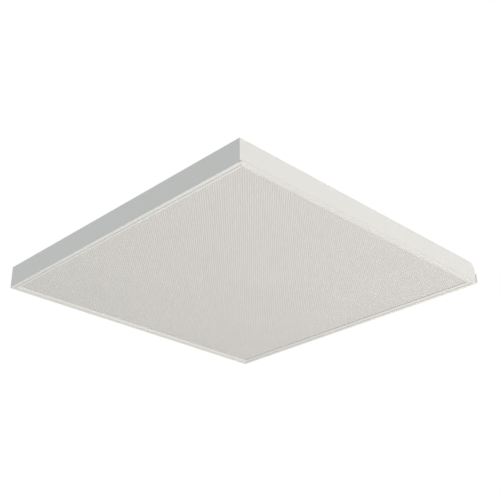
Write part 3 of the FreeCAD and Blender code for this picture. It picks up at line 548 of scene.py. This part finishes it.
def scatterTree(name, material):
    # stands a pattern on each point, its +Z along the point's aim, with a spin of its own
    groupTree, tree, (points, pattern, spin, scale, seed) = newGeometryTree(name, [
        ("Pattern", "NodeSocketObject", None), ("Spin", "NodeSocketFloat", 0.0),
        ("Scale", "NodeSocketVector", (1, 1, 1)), ("Seed", "NodeSocketInt", 7)])
    model = tree.make("GeometryNodeObjectInfo", None, {"Object": pattern})
    shape = Link(tree, model.socket.node.outputs["Geometry"])
    aim = tree.make("GeometryNodeInputNamedAttribute", {"data_type": "FLOAT_VECTOR"}, {"Name": "aim"})
    lean = tree.make("FunctionNodeAlignRotationToVector", {"axis": "Z"}, {"Vector": aim})
    stood = tree.make("GeometryNodeInstanceOnPoints", None, {
        "Points": points, "Instance": shape, "Rotation": lean, "Scale": scale})
    chance = tree.nodeTree.nodes.new("FunctionNodeRandomValue")
    chance.data_type = "FLOAT"
    sockets = {socket.name: socket for socket in chance.inputs if socket.enabled}
    sockets["Min"].default_value = 0.0
    sockets["Max"].default_value = 1.0
    tree.nodeTree.links.new(seed.socket, sockets["Seed"])
    share = Link(tree, next(socket for socket in chance.outputs if socket.enabled))
    twist = tree.make("ShaderNodeCombineXYZ", None, {2: share * spin})
    turned = tree.make("GeometryNodeRotateInstances", None, {"Instances": stood, "Rotation": twist})
    finishTree(tree, turned, material)
    return groupTree


def pointsMesh(name, spots):
    # spots holds a place and an aim for each point
    mesh = bpy.data.meshes.new(name)
    mesh.from_pydata([place for place, _ in spots], [], [])
    aims = mesh.attributes.new("aim", "FLOAT_VECTOR", "POINT")
    for index, (_, aim) in enumerate(spots):
        aims.data[index].vector = aim
    return mesh


def scatter(name, pattern, spots, material, spin=0.0, scale=(1, 1, 1), seed=7):
    groupTree = scatterTree(name + "Tree", material)
    model = looseObject(name + "Pattern", pattern)
    piece = meshFromTree(name, groupTree, {"Pattern": model, "Spin": spin, "Scale": scale, "Seed": seed},
                         pointsMesh(name + "Points", spots))
    bpy.data.objects.remove(model)
    smooth(piece)
    return piece


lensShape = {"pitch": 0.0034, "depth": 0.0008}


def makeLens(shape):
    # Pyramids in rows at 45 degrees to the edges, sunk into the underside of a flat sheet.
    low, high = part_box("prismatic_lens")
    width = high.x - low.x
    cells = 2 * round(width / (shape["pitch"] / math.sqrt(2)) / 2)
    sizes = {"Width": width, "Cells": cells, "Depth": shape["depth"],
             "Thickness": high.z - low.z, "Base": low.z}
    kinds = {"Cells": "NodeSocketInt"}
    groupTree, tree, (_, size, count, depth, thickness, base) = newGeometryTree("lensPrisms", [
        (label, kinds.get(label, "NodeSocketFloat"), first) for label, first in sizes.items()])
    sheet = tree.make("GeometryNodeMeshGrid", None, {0: size, 1: size, 2: count + 1, 3: count + 1})
    x, y, _ = tree.split(tree.make("GeometryNodeInputPosition"))
    step = size / count
    column = (x + size / 2) / step
    row = (y + size / 2) / step
    odd = (column.round() + row.round()) % 2
    inside = (abs(x) < size / 2 - step / 2) * (abs(y) < size / 2 - step / 2)
    rise = (odd < 0.5) * inside * depth + base
    lift = tree.make("ShaderNodeCombineXYZ", None, {2: rise})
    bent = tree.make("GeometryNodeSetPosition", None, {"Geometry": sheet, "Offset": lift})
    oddFace = ((column.floor() + row.floor()) % 2) > 0.5
    halves = bent
    for method, chosen in (("FIXED", oddFace), ("FIXED_ALTERNATE", 1 - oddFace)):
        halves = tree.make("GeometryNodeTriangulate", {"quad_method": method},
                           {"Mesh": halves, "Selection": chosen})
    rim = tree.make("GeometryNodeInputMeshEdgeNeighbors") < 1.5
    up = tree.make("ShaderNodeCombineXYZ", None, {2: thickness})
    walled = tree.make("GeometryNodeExtrudeMesh", {"mode": "EDGES"},
                       {"Mesh": halves, "Selection": rim, "Offset": up, "Offset Scale": 1.0})
    finishTree(tree, walled, finishes["prismatic_acrylic"])
    lens = meshFromTree("prismLens", groupTree, sizes)
    work = bmesh.new()
    work.from_mesh(lens.data)
    top = [edge for edge in work.edges if len(edge.link_faces) == 1]    # the sheet's open top
    bmesh.ops.contextual_create(work, geom=top)
    bmesh.ops.recalc_face_normals(work, faces=work.faces)
    gaps = sum(1 for edge in work.edges if len(edge.link_faces) != 2)
    print("lens:", cells, "cells a side,", len(work.faces), "faces,", gaps, "open edges")
    work.to_mesh(lens.data)
    work.free()
    settle(lens, "lens_door", ["prismatic_lens"])


makeLens(lensShape)
print("lens made")


# Screws and rivets, each set where its own solid stands.

sameSpot = 1e-6                                 # corners closer than this are one, in metres
headReading = {"rimFrom": 0.9, "shankTo": 0.8}    # shares of the head's radius


def islands(nodeName):
    # the loose solids of a node, as lists of points
    work = bmesh.new()
    work.from_mesh(frame["nodes"][nodeName].data)
    bmesh.ops.remove_doubles(work, verts=work.verts, dist=sameSpot)
    waiting = set(work.verts)
    found = []
    while waiting:
        front = [waiting.pop()]
        solid = []
        while front:
            vertex = front.pop()
            solid.append(vertex.co.copy())
            for edge in vertex.link_edges:
                other = edge.other_vert(vertex)
                if other in waiting:
                    waiting.discard(other)
                    front.append(other)
        found.append(solid)
    work.free()
    # sets have no order, so the solids are put in one, the same each run
    return sorted(found, key=lambda solid: cornersOf(solid)[0])


def cornersOf(points):
    low = [min(point[axis] for point in points) for axis in range(3)]
    high = [max(point[axis] for point in points) for axis in range(3)]
    return low, high


def readFastener(points):
    # its seat, its aim from head to shank, and its sizes
    low, high = cornersOf(points)
    spans = [high[axis] - low[axis] for axis in range(3)]
    others = [(1, 2), (0, 2), (0, 1)]
    long = min(range(3), key=lambda axis: abs(spans[others[axis][0]] - spans[others[axis][1]]))
    across = others[long]
    middle = [(low[axis] + high[axis]) / 2 for axis in range(3)]
    headRadius = spans[across[0]] / 2

    def offAxis(point):
        return math.dist([point[axis] for axis in across], [middle[axis] for axis in across])

    rimFrom, shankTo = headRadius * headReading["rimFrom"], headRadius * headReading["shankTo"]
    rim = [point[long] for point in points if offAxis(point) > rimFrom]
    shank = max(offAxis(point) for point in points if offAxis(point) < shankTo)
    headHeight = max(rim) - min(rim)
    forward = abs(min(rim) - low[long]) < abs(max(rim) - high[long])
    seat = list(middle)
    seat[long] = max(rim) if forward else min(rim)
    aim = [0.0, 0.0, 0.0]
    aim[long] = 1.0 if forward else -1.0
    sizes = {"head": headRadius, "height": headHeight, "shank": shank, "grip": spans[long] - headHeight}
    return seat, aim, sizes


def fastenerMesh(name, sizes, shape):
    # the head is given in shares of its radius and height, and the shank follows it
    profile = [(sizes["head"] * out, sizes["height"] * up) for out, up in shape["head"]]
    profile += [(sizes["shank"], 0), (sizes["shank"], sizes["grip"]), (0, sizes["grip"])]
    return lathe(name, profile, shape["sides"])


screwShape = {
    "sides": 28,
    "head": ((0, -1), (0.5, -0.99), (0.74, -0.92), (0.9, -0.76), (0.98, -0.5), (1, -0.12), (0.98, 0)),
    "crossReach": 0.56, "crossHalf": 0.13, "crossDepth": 0.62, "crossNarrow": 0.62, "cutterTop": 1.2,
}


def screwPattern(sizes, shape):
    # a pan head with a cross recess
    radius, height = sizes["head"], sizes["height"]
    head = looseObject("screwHead", fastenerMesh("screwHead", sizes, shape))
    reach, half = radius * shape["crossReach"], radius * shape["crossHalf"]
    plus = [(half, half), (half, reach), (-half, reach), (-half, half), (-reach, half), (-reach, -half),
            (-half, -half), (-half, -reach), (half, -reach), (half, -half), (reach, -half), (reach, half)]
    work = bmesh.new()
    narrow, deep = shape["crossNarrow"], -height * (1 - shape["crossDepth"])
    face = work.faces.new([work.verts.new((x, y, -height * shape["cutterTop"])) for x, y in plus])
    raised = bmesh.ops.extrude_face_region(work, geom=[face])
    tips = [part for part in raised["geom"] if isinstance(part, bmesh.types.BMVert)]
    for tip in tips:    # the recess narrows towards its bottom
        tip.co = (tip.co.x * narrow, tip.co.y * narrow, deep)
    bmesh.ops.recalc_face_normals(work, faces=work.faces)
    cutterMesh = bpy.data.meshes.new("crossCutter")
    work.to_mesh(cutterMesh)
    work.free()
    cutter = looseObject("crossCutter", cutterMesh)
    recess = head.modifiers.new("recess", "BOOLEAN")
    recess.object = cutter
    recess.solver = "EXACT"
    mesh = evaluatedMesh(head)
    bpy.data.objects.remove(head)
    bpy.data.objects.remove(cutter)
    return mesh


rivetShape = {
    "sides": 24,
    "head": ((0, -0.45), (0.28, -0.45), (0.33, -0.9), (0.42, -1), (0.66, -0.88), (0.86, -0.6),
             (0.98, -0.24), (1, -0.1), (1, 0)),
}


def rivetPattern(sizes, shape):
    # a domed head with the broken mandrel in its middle
    return fastenerMesh("rivetHead", sizes, shape)


screwNodes = ("bar_screws", "driver_screws", "cover_screws", "terminal_screw", "clamp_screws", "earth_screw")
rivetNodes = {
    "plate_rivets": "housing", "bracket_rivets": "housing", "jaw_rivets": "housing",
    "corner_rivets": "lens_door", "leaf_rivets": "lens_door", "tongue_rivets": "lens_door",
}


def makeFasteners():
    kinds = [(node, "housing", screwPattern, screwShape) for node in screwNodes]
    kinds += [(node, body, rivetPattern, rivetShape) for node, body in rivetNodes.items()]
    for seed, (node, body, pattern, shape) in enumerate(kinds, start=1):
        read = [readFastener(points) for points in islands(node)]
        spots = sorted((seat, aim) for seat, aim, _ in read)
        words = node.split("_")
        name = words[0] + words[1].capitalize()
        piece = scatter(name, pattern(read[0][2], shape), spots, finishes["zinc_steel"],
                        spin=2 * math.pi, seed=seed)
        settle(piece, body, [node])


makeFasteners()
print("screws and rivets set")


# Light bars: clear optics over small chips, and the parts between them.

barShape = {
    "opticCount": 10,
    "opticSides": 36,
    "opticRings": 8,
    "hollow": ((0.0034, 0.0), (0.0032, -0.0013), (0.0019, -0.0021), (0.0, -0.0023)),
    "chip": {"half": 0.0015, "height": 0.0008, "crown": 0.86, "shoulder": 0.75},
    "glow": {"radius": 0.0012, "sides": 20, "profile": ((0, -1.25), (0.7, -1.2), (1, -1), (0, -0.9))},
    "resistor": {"half": 0.0004, "height": 0.0005, "crown": 0.85, "shoulder": 0.8},
    "resistorScale": (1.0, 2.0, 1.0),
    "resistorOut": 0.0065,
    "cap": {"sides": 8, "out": 0.00095,
            "profile": ((0, -0.00045), (0.0005, -0.00042), (0.00062, -0.0002), (0.00066, 0), (0, 0))},
}


def squareBlock(name, block):
    # a low square block with its lower edge taken off
    corner, height = block["half"] * math.sqrt(2), block["height"]
    profile = [(0, -height), (corner * block["crown"], -height), (corner, -height * block["shoulder"]),
               (corner, 0), (0, 0)]
    return lathe(name, profile, 4, math.pi / 4)


def layOnBars(name, pattern, spots, material, scale=(1, 1, 1)):
    settle(scatter(name, pattern, spots, material, scale=scale), "housing")


def makeBars(shape):
    downs = []
    between = []
    nodes = [f"bar_optics_{number}" for number in (1, 2, 3, 4)]
    count = shape["opticCount"]
    for node in nodes:
        low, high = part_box(node)
        radius, height = (high.x - low.x) / 2, high.z - low.z
        pitch = (high.y - low.y - 2 * radius) / (count - 1)
        middle = (low.x + high.x) / 2
        for index in range(count):
            y = low.y + radius + pitch * index
            downs.append(((middle, y, high.z), (0, 0, 1)))
            if index < count - 1:
                between.append((middle, y + pitch / 2, high.z))
    rings = shape["opticRings"]
    turns = [math.pi / 2 * ring / rings for ring in range(rings + 1)]
    dome = [(radius * math.sin(turn), -height * math.cos(turn)) for turn in turns]
    optic = lathe("opticDome", dome + list(shape["hollow"]), shape["opticSides"])
    settle(scatter("barOptics", optic, downs, finishes["clear_optic"]), "housing", nodes)

    layOnBars("ledChips", squareBlock("chip", shape["chip"]), downs, chipCeramic)
    glow, tall = shape["glow"], shape["chip"]["height"]
    dot = lathe("glow", [(glow["radius"] * out, tall * up) for out, up in glow["profile"]], glow["sides"])
    layOnBars("ledPhosphors", dot, downs, chipPhosphor)

    out = shape["resistorOut"]
    parts = [((x + way * out, y, z), (0, 0, 1)) for x, y, z in between for way in (-1, 1)]
    body = squareBlock("resistor", shape["resistor"])
    layOnBars("barResistors", body, parts, resistorBlack, shape["resistorScale"])
    cap = shape["cap"]
    caps = [((x, y + end * cap["out"], z), aim) for (x, y, z), aim in parts for end in (-1, 1)]
    layOnBars("barSolder", lathe("solderCap", cap["profile"], cap["sides"]), caps, solderTin)


makeBars(barShape)
print("light bars dressed")


# Plugs at the front end of the bars.

plugShape = {
    "edge": 0.0002,
    "bodyStart": 0.0006,
    "collar": 0.0022,
    "latch": {"half": 0.0024, "rise": 0.0007, "root": 1.6, "start": 0.12, "end": 0.78,
              "padEnd": 0.3, "padWiden": 1.5, "padTop": 0.6},
    "mouths": {"count": 4, "side": 0.0004, "wall": 0.0001, "inset": 0.0003, "length": 0.002},
}


def bevelledBlocks(name, blocks, edge):
    mesh = bpy.data.meshes.new(name)
    work = bmesh.new()
    for low, high in blocks:
        made = bmesh.ops.create_cube(work, size=1.0)
        for vertex in made["verts"]:
            vertex.co = Vector([low[axis] if vertex.co[axis] < 0 else high[axis] for axis in range(3)])
    bmesh.ops.recalc_face_normals(work, faces=work.faces)
    work.to_mesh(mesh)
    work.free()
    holder = looseObject(name, mesh)
    rounding = holder.modifiers.new("rounding", "BEVEL")
    rounding.width = edge
    rounding.segments = 3
    rounding.use_clamp_overlap = True
    result = evaluatedMesh(holder)
    bpy.data.objects.remove(holder)
    return result


def makePlugs(shape):
    spots = []
    for points in islands("bar_plugs"):
        low, high = cornersOf(points)
        spots.append((((low[0] + high[0]) / 2, low[1], high[2]), (0, 0, 1)))
        wide, long, tall = [high[axis] - low[axis] for axis in range(3)]
    half, collar = wide / 2, shape["collar"]
    latch, mouths = shape["latch"], shape["mouths"]
    start, rise = long * latch["start"], latch["rise"]
    root, pad = -tall + rise * latch["root"], latch["half"] * latch["padWiden"]
    blocks = [
        ((-half + collar / 4, shape["bodyStart"], -tall + rise), (half - collar / 4, long - collar, 0)),
        ((-half, long - collar, -tall + rise / 2), (half, long, 0)),
        ((-latch["half"], start, -tall), (latch["half"], long * latch["end"], root)),
        ((-pad, start, -tall + rise * latch["padTop"]), (pad, long * latch["padEnd"], root)),
    ]
    step = (wide - 2 * mouths["side"]) / mouths["count"]
    wall, inset = mouths["wall"], mouths["inset"]
    for index in range(mouths["count"]):    # a square mouth round each lead
        x = -half + mouths["side"] + step * index
        blocks.append(((x + wall, 0, -tall + rise + inset), (x + step - wall, mouths["length"], -inset)))
    plug = bevelledBlocks("plugPattern", blocks, shape["edge"])
    piece = scatter("barPlugs", plug, spots, finishes["plug_white"])
    settle(piece, "housing", ["bar_plugs"])


makePlugs(plugShape)
print("plugs made")
